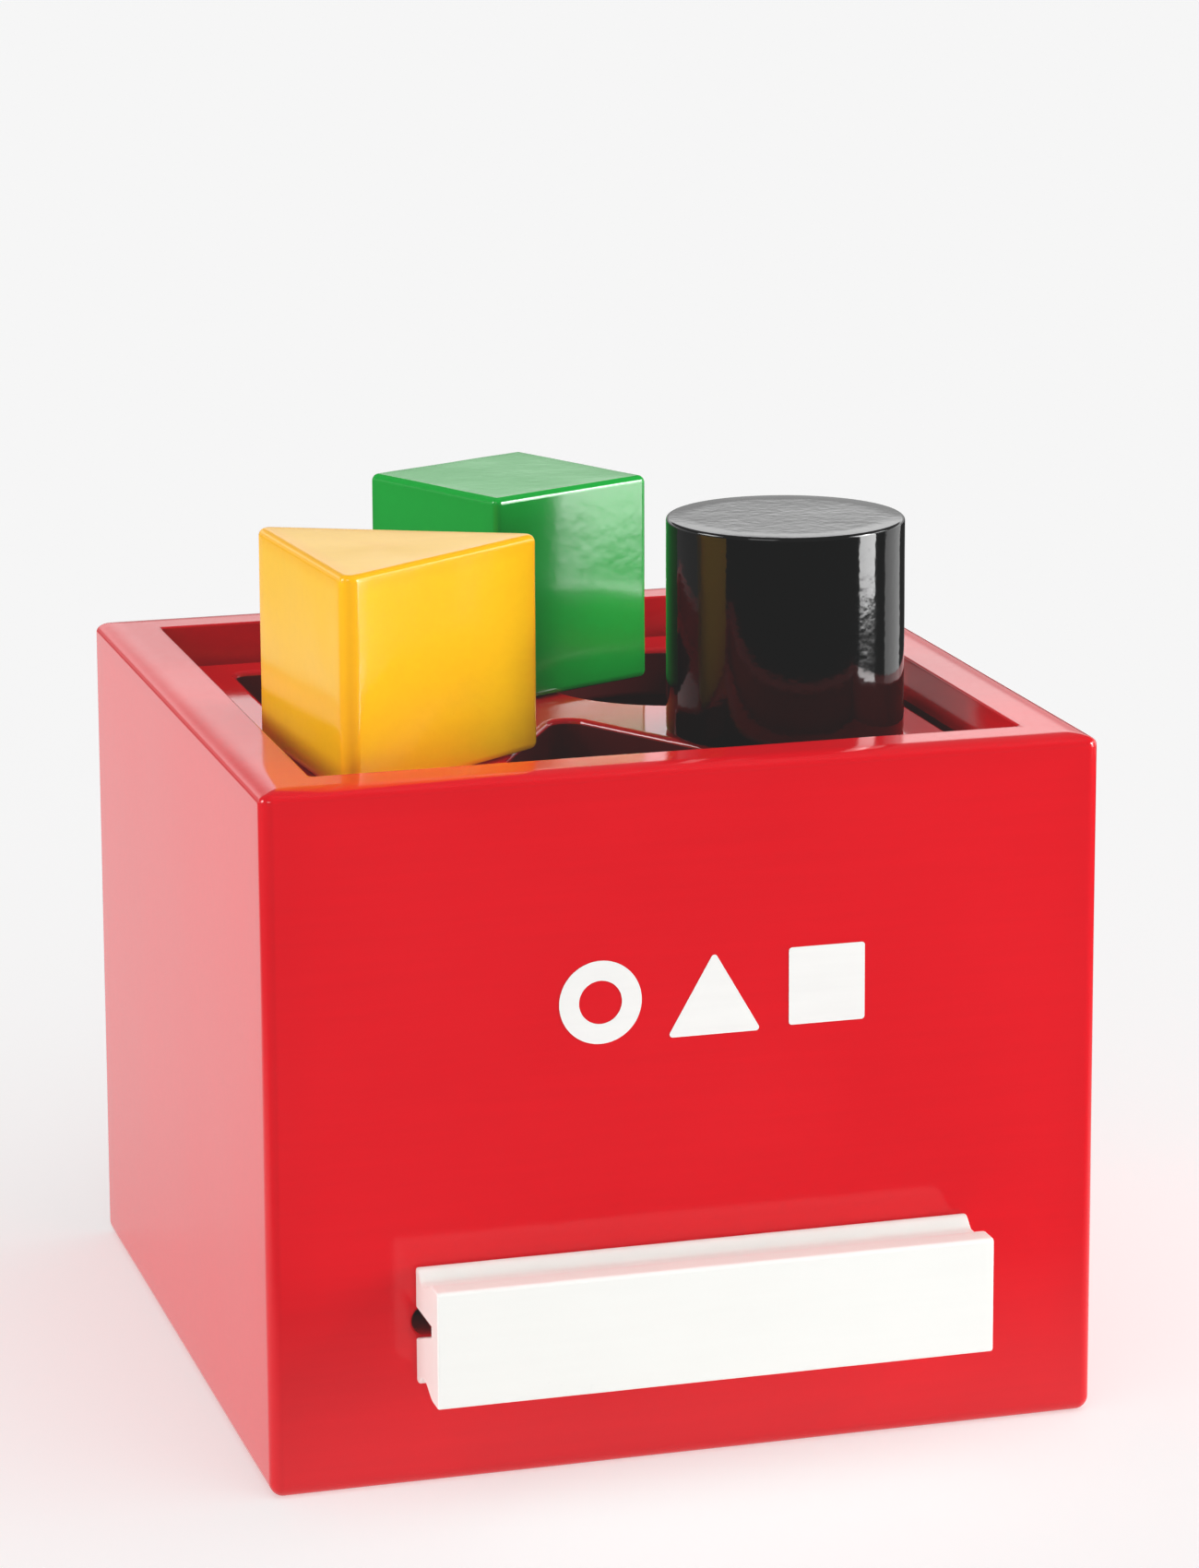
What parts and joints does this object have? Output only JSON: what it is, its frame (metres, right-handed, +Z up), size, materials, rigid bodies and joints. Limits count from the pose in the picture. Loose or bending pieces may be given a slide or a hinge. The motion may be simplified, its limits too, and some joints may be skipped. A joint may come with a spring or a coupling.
{
  "type": "shape sorter",
  "caption": "Lacquered wooden shape-sorting box: loose lid with shape holes, matching blocks standing on it, and a pull-out floor drawn by a grip bar.",
  "frame": {"origin": "on the surface the box stands on, at the middle of the whole object's outer box, grip bar included", "axes": "+Z up, -Y out of the front face towards the grip bar, +X to the right seen from the front"},
  "size_m": [0.158, 0.174, 0.1645],
  "materials": {
    "red_lacquer": "gloss red lacquer on wood",
    "white_lacquer": "warm white gloss lacquer on wood",
    "green_lacquer": "gloss green lacquer on wood",
    "yellow_lacquer": "gloss yellow lacquer on wood",
    "black_lacquer": "gloss black lacquer on wood",
    "bare_beech": "bare turned beech"
  },
  "bodies": {
    "box": {"front_wall": "red_lacquer", "back_wall": "red_lacquer", "left_wall": "red_lacquer", "right_wall": "red_lacquer", "lid_cleat_front": "red_lacquer", "lid_cleat_back": "red_lacquer", "lid_cleat_left": "red_lacquer", "lid_cleat_right": "red_lacquer", "floor_runner_left": "red_lacquer", "floor_runner_right": "red_lacquer", "dowel_front_left_low": "bare_beech", "dowel_front_left_high": "bare_beech", "dowel_front_right_low": "bare_beech", "dowel_front_right_high": "bare_beech", "dowel_back_left_low": "bare_beech", "dowel_back_left_high": "bare_beech", "dowel_back_right_low": "bare_beech", "dowel_back_right_high": "bare_beech"},
    "slide_floor": {"floor_plate": "red_lacquer", "pull_bar": "white_lacquer", "stop_batten": "red_lacquer"},
    "lid": {"lid": "red_lacquer"},
    "cube": {"cube_block": "green_lacquer"},
    "prism": {"prism_block": "yellow_lacquer"},
    "cylinder": {"cylinder_block": "black_lacquer"}
  },
  "joints": [
    {"name": "floor_pull", "type": "slide", "parent": "box", "child": "slide_floor", "axis": [0, -1, 0], "range_m": [0, 0.115]},
    {"name": "lid_lift", "type": "slide", "parent": "box", "child": "lid", "axis": [0, 0, 1], "range_m": [0, 0.08]},
    {"name": "cube_lift", "type": "slide", "parent": "lid", "child": "cube", "axis": [0, 0, 1], "range_m": [0, 0.08]},
    {"name": "prism_lift", "type": "slide", "parent": "lid", "child": "prism", "axis": [0, 0, 1], "range_m": [0, 0.08]},
    {"name": "cylinder_lift", "type": "slide", "parent": "lid", "child": "cylinder", "axis": [0, 0, 1], "range_m": [0, 0.08]}
  ]
}
